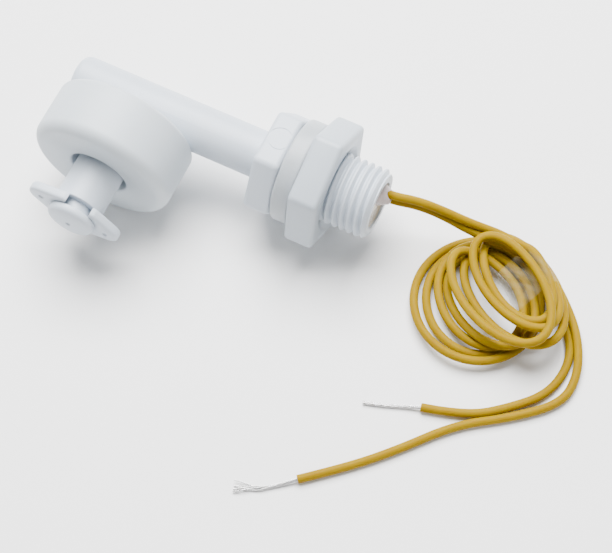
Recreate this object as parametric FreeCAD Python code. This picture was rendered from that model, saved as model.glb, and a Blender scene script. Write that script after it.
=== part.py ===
import FreeCAD, Part
import math
import os
from FreeCAD import Vector

# Right-angle float level switch, in millimetres.
# The arm and the threaded bush lie along X, the stem points to -Y, and Z is up
# as the switch lies on a table. The origin is on the bush's axis at the wall.

# Threaded bush and hex flange
thread_d = 14.0
bush_length = 18.2
bush_bore_d = 9.5
bush_end_chamfer = 0.4
flange_across_flats = 19.0
flange_thickness = 5.2
flange_edge = 0.5

# Arm
arm_d = 9.4
arm_past_stem = 13.6
arm_end_round = 1.6
arm_bore_d = 5.6
stem_offset = 32.8

# Stem with its clip groove
stem_d = 9.6
stem_bore_d = 5.8
stem_bore_depth = 23.0
groove_start = 24.8
groove_width = 2.0
groove_d = 6.6
tip_length = 1.9
tip_round = 0.9
gate_dimple_r = 0.55
gate_dimple_depth = 0.3

# Float
float_d = 28.5
float_length = 11.8
float_bore_d = 11.6
float_stop_gap = 0.3
float_wall = 1.3
float_rim_round = 1.1
float_mouth_round = 0.5
cap_thickness = 1.5
cap_ledge = 0.5
cap_gap = 0.05

# Ring magnet on the float's tip-side floor
magnet_share = 0.55
magnet_thickness = 4.0
magnet_gap = 0.05

# Retaining clip: two side lobes, one lower lobe, open to the top
clip_thickness = 1.9
clip_hub_r = 6.5
clip_reach = 10.2
clip_tip_r = 1.5
clip_turn = -20.0
clip_groove_gap = 0.05
clip_mouth = 5.6
clip_shoulder = 3.9
clip_edge = 0.3
clip_dimple_at = 8.3

# Gasket and lock nut
gasket_thickness = 4.2
gasket_d = 21.8
gasket_gap = 0.08
gasket_round = 1.3
face_gap = 0.02
nut_across_flats = 22.0
nut_thickness = 5.0
nut_gap = 0.06
nut_turn = -40.4
nut_corner_chamfer = 0.8
nut_recess_d = 18.0
nut_recess_depth = 1.1

# Reed switch in the stem
glass_d = 2.2
glass_length = 12.0
glass_wall = 0.35
glass_top = 7.0
glass_shift = -1.35
blade_wire_d = 0.6
blade_width = 1.0
blade_thickness = 0.24
blade_overlap = 2.4
blade_gap = 0.12
blade_lead = 1.6
solder_d = 1.1
solder_length = 1.8
sleeve_wall = 0.2
sleeve_length = 2.6
sleeve_gap = 0.05

# Leads
wire_d = 1.6
conductor_d = 0.76
inner_wire_shift = 1.6
inner_half_pitch = 0.88
elbow_run = 9.0
wire_fit = 0.02
potting_from = -1.0
potting_to = 15.0
potting_gap = 0.02
bend_share = 0.45

# The two leads part at the potting: centre of the pair there, and half their pitch
lead_y = 1.7
lead_z = 0.3
lead_half_pitch = 0.85
lead_straight = 1.2
conductor_straight = 3.0

# Resting surface: it touches the float's side and the lock nut's lowest corner
surface_at_float = -float_d / 2

# Coil of the leads: oval turns nested on the resting surface, tied on one side
coil_tie_x = 48.2
coil_tie_y = 6.1
coil_tie_turn = 62.0
coil_across = 29.8
coil_along = 27.6
coil_beyond_tie = 2.4
coil_lean = 1.5
coil_hole_across = 7.4
coil_hole_along = 17.6
coil_tied_width = 6.4
coil_tied_height = 7.8
coil_free_height = 2.2
coil_lift = 0.35
tape_width = 9.0
tape_lean = 2.8
tape_thickness = 0.15
tape_clear = 0.1

# Places that follow from the sizes above
stem_x = -stem_offset
arm_end_x = stem_x - arm_past_stem
groove_end = groove_start + groove_width
tip_y = -(groove_end + tip_length)
float_top = -(arm_d / 2 + float_stop_gap)
float_bottom = float_top - float_length
gasket_from = face_gap
nut_from = gasket_from + gasket_thickness + face_gap
nut_to = nut_from + nut_thickness
nut_corner_r = nut_across_flats / math.sqrt(3)

X = Vector(1, 0, 0)
Y = Vector(0, 1, 0)
Z = Vector(0, 0, 1)


def nut_lowest():
    """Height of the lock nut's lowest corner."""
    turns = [math.radians(nut_turn + 60 * k) for k in range(6)]
    return min(nut_corner_r * math.sin(a) for a in turns)


surface_slope = (nut_lowest() - surface_at_float) / (nut_to - stem_x)


def surface(x, above=0.0):
    """Height of a point above the plane that the switch rests on."""
    return surface_at_float + surface_slope * (x - stem_x) + above


def cylinder_x(diameter, x0, x1, y=0.0, z=0.0):
    return Part.makeCylinder(diameter / 2, x1 - x0, Vector(x0, y, z), X)


def cylinder_down(diameter, y0, y1, x=stem_x, z=0.0):
    """Cylinder along the stem, from y0 down to y1."""
    return Part.makeCylinder(diameter / 2, y0 - y1, Vector(x, y0, z), Y * -1)


def ring_about_stem(profile):
    """Revolves radius and height pairs round the stem's axis."""
    corners = [Vector(stem_x + r, y, 0) for r, y in profile]
    face = Part.Face(Part.makePolygon(corners + corners[:1]))
    return face.revolve(Vector(stem_x, 0, 0), Y, 360)


def ring_about_arm(profile):
    """Revolves place and radius pairs round the bush's axis."""
    corners = [Vector(x, r, 0) for x, r in profile]
    face = Part.Face(Part.makePolygon(corners + corners[:1]))
    return face.revolve(Vector(0, 0, 0), X, 360)


def hexagon(across_flats, x0, x1, turn):
    """Hexagonal prism along X with a corner at this turn from +Y."""
    r = across_flats / math.sqrt(3)
    turns = [math.radians(turn + 60 * k) for k in range(6)]
    corners = [Vector(x0, r * math.cos(a), r * math.sin(a)) for a in turns]
    return Part.Face(Part.makePolygon(corners + corners[:1])).extrude(X * (x1 - x0))


def round_edges(shape, test, radius):
    """Rounds the circular edges that the test picks by radius and centre."""
    picked = [
        e for e in shape.Edges
        if isinstance(e.Curve, Part.Circle) and len(e.Vertexes) < 2 and test(e.Curve.Radius, e.Curve.Center)
    ]
    return shape.makeFillet(radius, picked) if picked else shape


def near(a, b):
    return abs(a - b) < 1e-4


def dimple(x, y, z):
    """Shallow round mark of an ejector pin or gate on a face that looks to -Y."""
    r = (gate_dimple_r ** 2 + gate_dimple_depth ** 2) / (2 * gate_dimple_depth)
    return Part.makeSphere(r, Vector(x, y - r + gate_dimple_depth, z))


def body_moulding():
    """Arm, elbow, stem, flange and bush, moulded in one and cored from the bush's end."""
    arm = cylinder_x(arm_d, arm_end_x, 0)
    arm = round_edges(arm, lambda r, c: near(c.x, arm_end_x), arm_end_round)
    stem = cylinder_down(stem_d, 0, tip_y)
    stem = round_edges(stem, lambda r, c: near(c.y, tip_y), tip_round)
    groove = cylinder_down(stem_d + 2, -groove_start, -groove_end)
    groove = groove.cut(cylinder_down(groove_d, -groove_start, -groove_end))
    flange = hexagon(flange_across_flats, -flange_thickness, 0, 0)
    corner_r = flange_across_flats / math.sqrt(3)
    trim = ring_about_arm([
        (-flange_thickness, 0), (-flange_thickness, corner_r - flange_edge),
        (-flange_thickness + flange_edge, corner_r), (0, corner_r), (0, 0),
    ])
    bush_r = thread_d / 2
    bush = ring_about_arm([
        (-flange_thickness, 0), (-flange_thickness, bush_r), (bush_length - bush_end_chamfer, bush_r),
        (bush_length, bush_r - bush_end_chamfer), (bush_length, 0),
    ])
    solid = arm.fuse([stem.cut(groove), flange.common(trim), bush])
    bush_core = cylinder_x(bush_bore_d, potting_from, bush_length)
    arm_core = cylinder_x(arm_bore_d, stem_x - arm_bore_d / 2, potting_from)
    stem_core = cylinder_down(stem_bore_d, 0, -stem_bore_depth)
    mark = dimple(stem_x, tip_y, 0)
    return solid.cut([bush_core, arm_core, stem_core, mark]).removeSplitter()


def float_shell():
    """Cup with a bore tube in its middle, open towards the arm until the cap closes it."""
    r0 = float_bore_d / 2
    r1 = r0 + float_wall
    r3 = float_d / 2
    r2 = r3 - float_wall
    ledge_y = float_top - cap_thickness
    shell = ring_about_stem([
        (r0, float_bottom), (r3, float_bottom), (r3, float_top), (r2, float_top), (r2, ledge_y),
        (r2 - cap_ledge, ledge_y), (r2 - cap_ledge, float_bottom + float_wall),
        (r1 + cap_ledge, float_bottom + float_wall), (r1 + cap_ledge, ledge_y), (r1, ledge_y),
        (r1, float_top), (r0, float_top),
    ])
    shell = round_edges(shell, lambda r, c: near(r, r3) and near(c.y, float_bottom), float_rim_round)
    shell = round_edges(shell, lambda r, c: near(r, r3) and near(c.y, float_top), float_rim_round)
    return round_edges(shell, lambda r, c: near(r, r0), float_mouth_round)


def float_cap():
    r0 = float_bore_d / 2 + float_wall + cap_gap
    r1 = float_d / 2 - float_wall - cap_gap
    return ring_about_stem([
        (r0, float_top - cap_thickness), (r1, float_top - cap_thickness), (r1, float_top), (r0, float_top),
    ])


def ring_magnet():
    y0 = float_bottom + float_wall + magnet_gap
    r0 = float_bore_d / 2 + float_wall + cap_ledge + magnet_gap
    room = float_d / 2 - float_wall - cap_ledge - magnet_gap - r0
    r1 = r0 + magnet_share * room
    return ring_about_stem([(r0, y0), (r1, y0), (r1, y0 + magnet_thickness), (r0, y0 + magnet_thickness)])


def tangent_lobe(angle, y):
    """Hub circle, tip circle and the two lines that touch both."""
    far = clip_reach - clip_tip_r
    lean = math.asin((clip_hub_r - clip_tip_r) / far)
    middle = math.radians(angle)

    def spot(radius, along, turn):
        return Vector(
            stem_x + along * math.cos(middle) + radius * math.cos(middle + turn), y,
            along * math.sin(middle) + radius * math.sin(middle + turn),
        )

    side = math.pi / 2 - lean
    a0 = spot(clip_hub_r, 0, side)
    a1 = spot(clip_hub_r, 0, -side)
    b0 = spot(clip_tip_r, far, side)
    b1 = spot(clip_tip_r, far, -side)
    edges = [
        Part.LineSegment(a0, b0).toShape(),
        Part.Arc(b0, spot(clip_tip_r, far, 0), b1).toShape(),
        Part.LineSegment(b1, a1).toShape(),
        Part.Arc(a1, spot(clip_hub_r, 0, math.pi), a0).toShape(),
    ]
    return Part.Face(Part.Wire(edges)).extrude(Y * clip_thickness)


def retaining_clip():
    """Three-lobed snap clip in the groove, open towards the top."""
    y = -groove_end + (groove_width - clip_thickness) / 2
    lobes = [clip_turn, clip_turn + 180, clip_turn - 90]
    clip = tangent_lobe(lobes[0], y)
    clip = clip.fuse([tangent_lobe(a, y) for a in lobes[1:]])
    high = clip_reach + 1
    upper = Part.makeBox(2 * clip_hub_r, clip_thickness, high)
    upper.translate(Vector(stem_x - clip_hub_r, y, clip_shoulder))
    mouth = Part.makeBox(clip_mouth, clip_thickness, high)
    mouth.translate(Vector(stem_x - clip_mouth / 2, y, 0))
    seat = Part.makeCylinder(groove_d / 2 + clip_groove_gap, clip_thickness, Vector(stem_x, y, 0), Y)
    for cutter in (upper, mouth):
        cutter.rotate(Vector(stem_x, 0, 0), Y, -clip_turn)
        clip = clip.cut(cutter)
    clip = clip.cut(seat).removeSplitter()
    outline = [
        e for e in clip.Edges
        if all(near(v.Y, y) for v in e.Vertexes)
        and math.hypot(e.CenterOfMass.x - stem_x, e.CenterOfMass.z) > clip_hub_r
    ]
    clip = clip.makeChamfer(clip_edge, outline)
    for a in lobes:
        at = math.radians(a)
        clip = clip.cut(dimple(stem_x + clip_dimple_at * math.cos(at), y, clip_dimple_at * math.sin(at)))
    return clip


def gasket():
    r0 = thread_d / 2 + gasket_gap
    r1 = gasket_d / 2
    x1 = gasket_from + gasket_thickness
    ring = ring_about_arm([(gasket_from, r0), (x1, r0), (x1, r1), (gasket_from, r1)])
    return round_edges(ring, lambda r, c: near(r, r1), gasket_round)


def lock_nut():
    """Hexagonal nut with trimmed corners and a conical recess on its outer face."""
    corner_r = nut_corner_r
    trim = ring_about_arm([
        (nut_from, 0), (nut_from, corner_r), (nut_to - nut_corner_chamfer / 2, corner_r),
        (nut_to, corner_r - nut_corner_chamfer), (nut_to, 0),
    ])
    bore_r = thread_d / 2 + nut_gap
    hole = ring_about_arm([
        (nut_from, 0), (nut_from, bore_r), (nut_to - nut_recess_depth, bore_r),
        (nut_to, nut_recess_d / 2), (nut_to, 0),
    ])
    return hexagon(nut_across_flats, nut_from, nut_to, nut_turn).common(trim).cut(hole)


glass_x = stem_x + glass_shift
glass_bottom = -(glass_top + glass_length)
glass_middle = -(glass_top + glass_length / 2)
inner_wire_x = stem_x + inner_wire_shift
lower_joint_y = glass_bottom + solder_length / 2
upper_joint_y = -(glass_top - blade_lead)
lead_ends = {"a": lead_y + lead_half_pitch, "b": lead_y - lead_half_pitch}


def rounded_path(points, share=bend_share):
    """Straight runs joined by tangent arcs, with the arcs' radii."""
    edges = []
    radii = []
    start = points[0]
    for before, corner, after in zip(points, points[1:], points[2:]):
        along = (corner - before).normalize()
        away = (after - corner).normalize()
        turn = math.acos(max(-1, min(1, along.dot(away))))
        setback = share * min((corner - before).Length, (after - corner).Length)
        radius = setback / math.tan(turn / 2)
        entry = corner - along * setback
        leave = corner + away * setback
        inward = (away - along).normalize()
        middle = corner + inward * (radius / math.cos(turn / 2) - radius)
        edges.append(Part.LineSegment(start, entry).toShape())
        edges.append(Part.Arc(entry, middle, leave).toShape())
        radii.append(radius)
        start = leave
    edges.append(Part.LineSegment(start, points[-1]).toShape())
    return Part.Wire(edges), radii


def tube(points, diameter, label=None):
    """Round cord along a route; a label prints its radii and volume."""
    path, radii = rounded_path(points)
    first = (points[1] - points[0]).normalize()
    end = Part.Wire(Part.makeCircle(diameter / 2, points[0], first))
    solid = path.makePipeShell([end], True, True)
    if label:
        section = math.pi * diameter ** 2 / 4
        text = " ".join(f"{r:.1f}" for r in radii)
        print(f"{label}: length {path.Length:.1f}, volume/section {solid.Volume / section:.1f}, radii {text}")
    return solid


def blade(way):
    """Flattened half of a reed, from its round lead past the glass's middle."""
    side = way * (blade_gap + blade_thickness) / 2
    low, high = sorted((glass_middle - way * blade_overlap / 2, blade_root(way)))
    flat = Part.makeBox(blade_thickness, high - low, blade_width)
    flat.translate(Vector(glass_x + side - blade_thickness / 2, low, -blade_width / 2))
    return flat


def blade_root(way):
    """Where the round lead turns into the flat blade, inside the glass's end."""
    end_y = -glass_top if way > 0 else glass_bottom
    return end_y - way * 4 * glass_wall


def upper_blade():
    lead = cylinder_down(blade_wire_d, -glass_top + blade_lead, blade_root(1), glass_x)
    return blade(1).fuse(lead).removeSplitter()


def lower_blade():
    """The lower reed's lead crosses under the glass to the returning wire."""
    y = glass_bottom - blade_lead
    lead = tube([
        Vector(glass_x, blade_root(-1), 0), Vector(glass_x, y, 0),
        Vector(inner_wire_x, y, 0), Vector(inner_wire_x, lower_joint_y, 0),
    ], blade_wire_d)
    return blade(-1).fuse(lead).removeSplitter()


def reed_glass():
    """Sealed tube with domed ends, fused round both leads."""
    r = glass_d / 2
    outer = cylinder_down(glass_d, -glass_top - r, glass_bottom + r, glass_x)
    outer = outer.fuse([
        Part.makeSphere(r, Vector(glass_x, -glass_top - r, 0)),
        Part.makeSphere(r, Vector(glass_x, glass_bottom + r, 0)),
    ])
    room = cylinder_down(glass_d - 2 * glass_wall, -glass_top - 4 * glass_wall, glass_bottom + 4 * glass_wall, glass_x)
    lead = cylinder_down(blade_wire_d, 0, glass_bottom - blade_lead, glass_x)
    return outer.cut([room, lead]).removeSplitter()


def inner_wire(name):
    """Route from the solder joint in the stem, round the elbow and out to the potting's face."""
    if name == "a":
        x, end_y, y = glass_x, upper_joint_y + solder_length / 2, inner_half_pitch
    else:
        x, end_y, y = inner_wire_x, lower_joint_y + solder_length / 2, -inner_half_pitch
    return [
        Vector(x, end_y, 0),
        Vector(x, 0, 0),
        Vector(stem_x + elbow_run, y, 0),
        Vector(potting_from - elbow_run / 2, y, 0),
        Vector((potting_from + potting_to) / 2, lead_ends[name], lead_z),
        Vector(potting_to, lead_ends[name], lead_z),
    ]


def solder_joint(x, y):
    half = solder_length / 2
    bead = cylinder_down(solder_d, y + half, y - half, x)
    lead = cylinder_down(blade_wire_d, y + half, y - half, x)
    return bead.cut(lead)


def joint_sleeve(x, y):
    half = sleeve_length / 2
    bore_d = wire_d + 2 * sleeve_gap
    outer = cylinder_down(bore_d + 2 * sleeve_wall, y + half, y - half, x)
    return outer.cut(cylinder_down(bore_d, y + half, y - half, x))


def potting():
    """Resin plug in the bush's mouth, poured round both leads."""
    plug = cylinder_x(bush_bore_d - 2 * potting_gap, potting_from + potting_gap, potting_to)
    return plug.cut([tube(inner_wire(name), wire_d + 2 * wire_fit) for name in lead_ends])


# Routes of the free leads, chosen by hand: x, y and height above the resting surface
lead_route = [
    (24.6, 3.9, 11.4), (29.5, 4.8, 9.5), (34.5, 5.2, 7.6), (39.6, 5.9, 6.0),
]
# The pair turns about itself on that route: lead a's place beside and above the pair's middle
lead_twist = [(0.84, 0.40), (0.44, 0.84), (0.38, 0.86), (0.84, 0.40)]
tail_route_a = [
    (50.7, 3.4, 1.7), (56.2, 0.5, 1.3), (61.2, -4.3, 0.9), (63.6, -10.4, 0.9),
    (61.0, -17.2, 0.9), (55.6, -22.6, 1.4), (48.6, -26.0, 1.0), (40.7, -29.4, 0.9),
]
tail_route_b = [
    (51.5, 4.95, 1.7), (57.4, 2.0, 1.4), (62.9, -3.5, 0.9), (65.6, -10.4, 0.9),
    (63.2, -17.8, 0.9), (57.0, -24.6, 0.9), (48.6, -31.0, 0.9), (39.8, -38.6, 0.9),
    (33.2, -45.2, 0.9), (26.2, -51.6, 0.9),
]
conductor_route_a = [(34.4, -31.9, 0.5), (30.6, -33.0, 0.5)]
conductor_route_b = [(20.6, -56.2, 0.5), (16.2, -57.6, 0.5)]


def on_surface(route):
    return [Vector(x, y, surface(x, above)) for x, y, above in route]


def conductor(tail_route, bare_route):
    """Bare end of a lead, which leaves its insulation straight."""
    tail = on_surface(tail_route)
    onward = (tail[-1] - tail[-2]).normalize() * conductor_straight
    return [tail[-1], tail[-1] + onward] + on_surface(bare_route)


def lead(name):
    """Free stretch from the potting's face to the coil."""
    way = 1 if name == "a" else -1
    y = lead_ends[name]
    first = [Vector(potting_to, y, lead_z), Vector(bush_length + lead_straight, y, lead_z)]
    pair = zip(lead_route, lead_twist)
    return first + on_surface([(x, y + way * beside, z + way * up) for (x, y, z), (beside, up) in pair])


def coil_tilt(shape):
    """Lays a shape drawn flat at height 0 about the tie on the resting surface."""
    shape.rotate(Vector(0, 0, 0), Z, coil_tie_turn)
    shape.translate(Vector(coil_tie_x, coil_tie_y, 0))
    shape.rotate(Vector(stem_x, 0, 0), Y, -math.degrees(math.atan(surface_slope)))
    shape.translate(Vector(0, 0, surface_at_float))
    return shape


def oval(edge_x, across, along):
    """Oval face whose outer edge is at this x, with its middle moved along by the lean."""
    centre = Vector(edge_x - across / 2, -coil_lean, coil_lift)
    ends = [centre + X * (across / 2), centre + Y * (along / 2)]
    if along > across:
        ends.reverse()
        return Part.Face(Part.Wire(Part.Ellipse(ends[0], centre + X * (across / -2), centre).toShape()))
    return Part.Face(Part.Wire(Part.Ellipse(ends[0], ends[1], centre).toShape()))


def coil_top(x):
    """Height of the coil's outer shape above its underside, falling away from the tie."""
    share = (coil_beyond_tie - x) / coil_across
    return coil_tied_height + (coil_free_height - coil_tied_height) * share


def lead_coil():
    """Outer shape of the nested turns: an oval ring, thick at the tie and thin opposite."""
    ring = oval(coil_beyond_tie, coil_across, coil_along)
    hole = oval(coil_beyond_tie - coil_tied_width, coil_hole_across, coil_hole_along)
    solid = ring.cut(hole).extrude(Z * (coil_tied_height + 1))
    low_x = coil_beyond_tie - coil_across - 1
    high_x = coil_beyond_tie + 1
    tall = coil_tied_height + 2
    corners = [
        Vector(low_x, 0, coil_top(low_x)), Vector(high_x, 0, coil_top(high_x)),
        Vector(high_x, 0, tall), Vector(low_x, 0, tall),
    ]
    above = Part.Face(Part.makePolygon(corners + corners[:1])).extrude(Y * (2 * coil_along))
    above.translate(Vector(0, -coil_along, coil_lift))
    return coil_tilt(solid.cut(above))


def coil_tape():
    """Clear tape round the tied side of the coil."""
    half = tape_width / 2
    off_centre = half + abs(tape_lean - coil_lean)
    inset = math.sqrt(max(0, 1 - (2 * off_centre / coil_hole_along) ** 2))
    middle = coil_beyond_tie - coil_tied_width - coil_hole_across / 2
    inner_edge = middle + inset * coil_hole_across / 2 - tape_clear
    outer_edge = coil_beyond_tie + tape_clear
    height = coil_top(coil_beyond_tie) + 2 * tape_clear

    def block(grow):
        box = Part.makeBox(outer_edge - inner_edge + 2 * grow, tape_width, height + 2 * grow)
        box.translate(Vector(inner_edge - grow, -half - tape_lean, coil_lift - tape_clear - grow))
        return box

    outer = block(tape_thickness)
    return coil_tilt(outer.cut(block(0)))


def whole_solid(shape):
    return shape.Solids[0] if len(shape.Solids) == 1 else shape


def export(name, shape):
    shape = whole_solid(shape)
    if not shape.isValid():
        print(f"{name} is not valid")
    shape.exportStep(f"parts/{name}.step")
    box = shape.BoundBox
    print(f"{name}: {len(shape.Solids)} solid, {shape.Volume:.1f} mm3, z {box.ZMin:.2f}..{box.ZMax:.2f}")


def build():
    os.makedirs("parts", exist_ok=True)
    inner = {name: tube(inner_wire(name), wire_d, f"inner_wire_{name}") for name in ("a", "b")}
    leads = {name: tube(lead(name), wire_d, f"lead_{name}") for name in ("a", "b")}
    export("body_moulding", body_moulding())
    export("float_shell", float_shell())
    export("float_cap", float_cap())
    export("ring_magnet", ring_magnet())
    export("retaining_clip", retaining_clip())
    export("gasket", gasket())
    export("lock_nut", lock_nut())
    export("reed_glass", reed_glass())
    export("reed_blade_upper", upper_blade())
    export("reed_blade_lower", lower_blade())
    export("solder_joint_upper", solder_joint(glass_x, upper_joint_y))
    export("solder_joint_lower", solder_joint(inner_wire_x, lower_joint_y))
    export("joint_sleeve_upper", joint_sleeve(glass_x, upper_joint_y))
    export("joint_sleeve_lower", joint_sleeve(inner_wire_x, lower_joint_y))
    export("potting_resin", potting())
    for name in ("a", "b"):
        export(f"inner_wire_{name}", inner[name])
        export(f"lead_{name}", leads[name])
    export("lead_coil", lead_coil())
    export("coil_tape", coil_tape())
    export("lead_tail_a", tube(on_surface(tail_route_a), wire_d, "lead_tail_a"))
    export("lead_tail_b", tube(on_surface(tail_route_b), wire_d, "lead_tail_b"))
    export("conductor_a", tube(conductor(tail_route_a, conductor_route_a), conductor_d, "conductor_a"))
    export("conductor_b", tube(conductor(tail_route_b, conductor_route_b), conductor_d, "conductor_b"))


build()
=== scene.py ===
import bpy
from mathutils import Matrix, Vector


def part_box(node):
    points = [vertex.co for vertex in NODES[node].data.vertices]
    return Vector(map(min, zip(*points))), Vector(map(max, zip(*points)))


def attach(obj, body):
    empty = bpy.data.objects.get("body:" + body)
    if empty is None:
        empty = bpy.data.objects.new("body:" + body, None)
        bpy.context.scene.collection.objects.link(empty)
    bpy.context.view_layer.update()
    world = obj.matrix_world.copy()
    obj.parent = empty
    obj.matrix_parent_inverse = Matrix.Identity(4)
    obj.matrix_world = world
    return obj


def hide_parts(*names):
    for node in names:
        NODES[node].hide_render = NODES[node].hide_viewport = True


bl_info = {
    "name": "Float level switch",
    "version": (1, 0, 0),
    "blender": (4, 5, 0),
    "location": "3D View > Sidebar > Level switch",
    "description": "Right-angle float level switch with its seal, lock nut and coiled leads",
    "category": "Add Mesh",
}

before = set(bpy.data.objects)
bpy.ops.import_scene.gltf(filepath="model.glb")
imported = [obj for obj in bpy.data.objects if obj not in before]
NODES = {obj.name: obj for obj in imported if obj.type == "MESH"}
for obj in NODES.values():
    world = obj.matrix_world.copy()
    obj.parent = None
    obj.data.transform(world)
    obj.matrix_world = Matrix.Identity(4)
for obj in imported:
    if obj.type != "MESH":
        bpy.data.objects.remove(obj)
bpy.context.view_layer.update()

import math

import bpy
from bpy.props import FloatProperty, FloatVectorProperty, IntProperty, PointerProperty
from mathutils import Euler, Vector
from mathutils.geometry import convex_hull_2d

MM = 0.001
X, Y, Z = Vector((1, 0, 0)), Vector((0, 1, 0)), Vector((0, 0, 1))


def middle(node):
    low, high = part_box(node)
    return (Vector(low) + Vector(high)) / 2


STEM_X = middle("float_shell").x
FLOAT_LOW_Y, FLOAT_HIGH_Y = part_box("float_shell")[0][1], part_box("float_shell")[1][1]
TIP_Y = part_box("body_moulding")[0][1]
ARM_END_X, BUSH_END_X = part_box("body_moulding")[0][0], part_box("body_moulding")[1][0]
NUT_FROM, NUT_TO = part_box("lock_nut")[0][0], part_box("lock_nut")[1][0]
NUT_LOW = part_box("lock_nut")[0][2]
FLOAT_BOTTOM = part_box("float_shell")[0][2]
# The switch rests on the float's lowest line and the nut's lowest corner
SURFACE_SLOPE = (NUT_LOW - FLOAT_BOTTOM) / (NUT_TO - STEM_X)


def surface(x, above=0.0):
    """Height of a point above the plane that the switch rests on."""
    return FLOAT_BOTTOM + SURFACE_SLOPE * (x - STEM_X) + above


# Sizes and colours

def length(name, description, default):
    return FloatProperty(name=name, description=description, default=default, unit="LENGTH", precision=5)


def colour(name, description, default):
    return FloatVectorProperty(name=name, description=description, default=default,
                               size=3, min=0, max=1, subtype="COLOR")


class SwitchBodySizes(bpy.types.PropertyGroup):
    arm_d: length("Arm diameter", "Round arm between the elbow and the flange", 9.4 * MM)
    arm_end_round: length("Arm end rounding", "Rounding of the arm's closed end", 1.6 * MM)
    arm_bore_d: length("Arm bore", "Core that the inner wires run in", 5.6 * MM)
    stem_d: length("Stem diameter", "Round stem that the float slides on", 9.6 * MM)
    stem_bore_d: length("Stem bore", "Core that holds the reed switch", 5.8 * MM)
    stem_bore_depth: length("Stem bore depth", "Depth of that core from the arm's middle", 23 * MM)
    groove_start: length("Groove place", "Clip groove, from the arm's middle", 24.8 * MM)
    groove_width: length("Groove width", "Width of the clip groove", 2.0 * MM)
    groove_d: length("Groove diameter", "Core of the stem in the clip groove", 6.6 * MM)
    tip_round: length("Tip rounding", "Rounding of the stem's tip", 1.1 * MM)
    tip_dome: length("Tip dome", "How far the middle of the tip bulges", 0.25 * MM)
    flange_flats: length("Flange across flats", "Hexagonal flange", 19 * MM)
    flange_thickness: length("Flange thickness", "Hexagonal flange", 5.2 * MM)
    flange_edge: length("Flange edge", "Rounding of the flange's edges", 0.8 * MM)
    mark_d: length("Mould mark", "Round mark on the flange's upper flat", 4.5 * MM)
    bush_d: length("Thread diameter", "Outside of the bush's thread", 14 * MM)
    bush_bore_d: length("Bush bore", "Core of the threaded bush", 9.5 * MM)
    bush_chamfer: length("Bush end chamfer", "Run-in of the thread at the bush's end", 0.75 * MM)
    thread_pitch: length("Thread pitch", "Distance from one ridge to the next", 1.5 * MM)
    thread_depth: length("Thread depth", "Height of the ridges", 0.85 * MM)


class FloatSizes(bpy.types.PropertyGroup):
    outside_d: length("Float diameter", "Outside of the float", 28.5 * MM)
    bore_d: length("Float bore", "Hole that the stem passes through", 11.6 * MM)
    wall: length("Float wall", "Thickness of the float's walls", 1.3 * MM)
    cap_thickness: length("Cap thickness", "Ring welded into the float's open side", 1.5 * MM)
    rim_round: length("Rim rounding", "Rounding of the float's rim on the arm's side", 0.9 * MM)
    face_round: length("Face rounding", "Rounding of the float's rim on the tip's side", 2.3 * MM)
    mouth_round: length("Bore rounding", "Rounding of the bore's two mouths", 0.5 * MM)


class ClipSizes(bpy.types.PropertyGroup):
    hub_r: length("Hub radius", "Round middle of the clip", 5.9 * MM)
    reach: length("Lobe reach", "From the stem's axis to a lobe's end", 9.5 * MM)
    lobe_end_r: length("Lobe end radius", "Rounding of a lobe's end", 2.6 * MM)
    shoulder: length("Shoulder", "Height of the open side above the stem's axis", 4.9 * MM)
    mouth: length("Mouth", "Width of the opening that snaps over the groove", 5.0 * MM)
    edge: length("Edge rounding", "Rounding of the lobes' edges", 0.55 * MM)
    dimple_at: length("Dimple place", "From the stem's axis to a lobe's dimple", 6.9 * MM)
    turn: FloatProperty(name="Clip turn", description="How far the clip is turned about the stem",
                        default=math.radians(-20), subtype="ANGLE")


class SealSizes(bpy.types.PropertyGroup):
    gasket_d: length("Gasket diameter", "Outside of the silicone gasket", 20.4 * MM)
    gasket_round: length("Gasket rounding", "Rounding of the gasket's rims", 0.6 * MM)
    nut_flats: length("Nut across flats", "Hexagonal lock nut", 22.2 * MM)
    nut_turn: FloatProperty(name="Nut turn", description="How far the nut is turned on the thread",
                            default=math.radians(-40.4), subtype="ANGLE")
    nut_swell: length("Nut swell", "How far its faces stand out past the frame's plain nut", 0.45 * MM)
    nut_edge: length("Nut edge", "Rounding of the nut's edges", 0.9 * MM)
    nut_recess_d: length("Nut recess", "Conical recess in the nut's outer face", 17 * MM)
    nut_recess_depth: length("Recess depth", "Depth of that recess", 1.1 * MM)


class LeadSizes(bpy.types.PropertyGroup):
    lead_d: length("Lead diameter", "Outside of the insulation", 1.66 * MM)
    strand_d: length("Strand diameter", "One strand of the bare conductor", 0.25 * MM)
    strands: IntProperty(name="Strands", description="Strands in each conductor", default=7, min=3, max=19)
    strand_lay: length("Strand lay", "Length of one full twist of the strands", 9 * MM)
    turn_points: IntProperty(name="Points per turn", description="Control points in a turn of the coil",
                             default=16, min=12, max=32)
    tape_width: length("Tape width", "Width of the clear tape", 8.5 * MM)
    resin_below: length("Resin level", "Depth of the resin below the bush's mouth", 0.7 * MM)
    tape_thickness: length("Tape thickness", "Thickness of the clear tape", 0.08 * MM)


class FinishColours(bpy.types.PropertyGroup):
    moulding: colour("Moulding", "White polypropylene of the body", (0.53, 0.58, 0.64))
    float_white: colour("Float", "White polypropylene of the float", (0.53, 0.58, 0.62))
    nut_white: colour("Nut", "Slightly blue white of the lock nut", (0.43, 0.48, 0.53))
    silicone: colour("Silicone", "Milky white of the gasket", (0.40, 0.43, 0.46))
    insulation: colour("Insulation", "Yellow of the leads", (0.275, 0.175, 0.0003))
    resin: colour("Resin", "Cream potting resin", (0.52, 0.49, 0.43))
    resin_spot: colour("Resin spots", "Amber patches in the resin", (0.46, 0.34, 0.18))
    glue: colour("Glue", "Pale glue round the leads", (0.56, 0.50, 0.50))
    tin: colour("Tinned copper", "Bare strands", (0.62, 0.62, 0.63))
    floor: colour("Floor", "Plain floor of the stage", (0.93, 0.93, 0.93))


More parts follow.
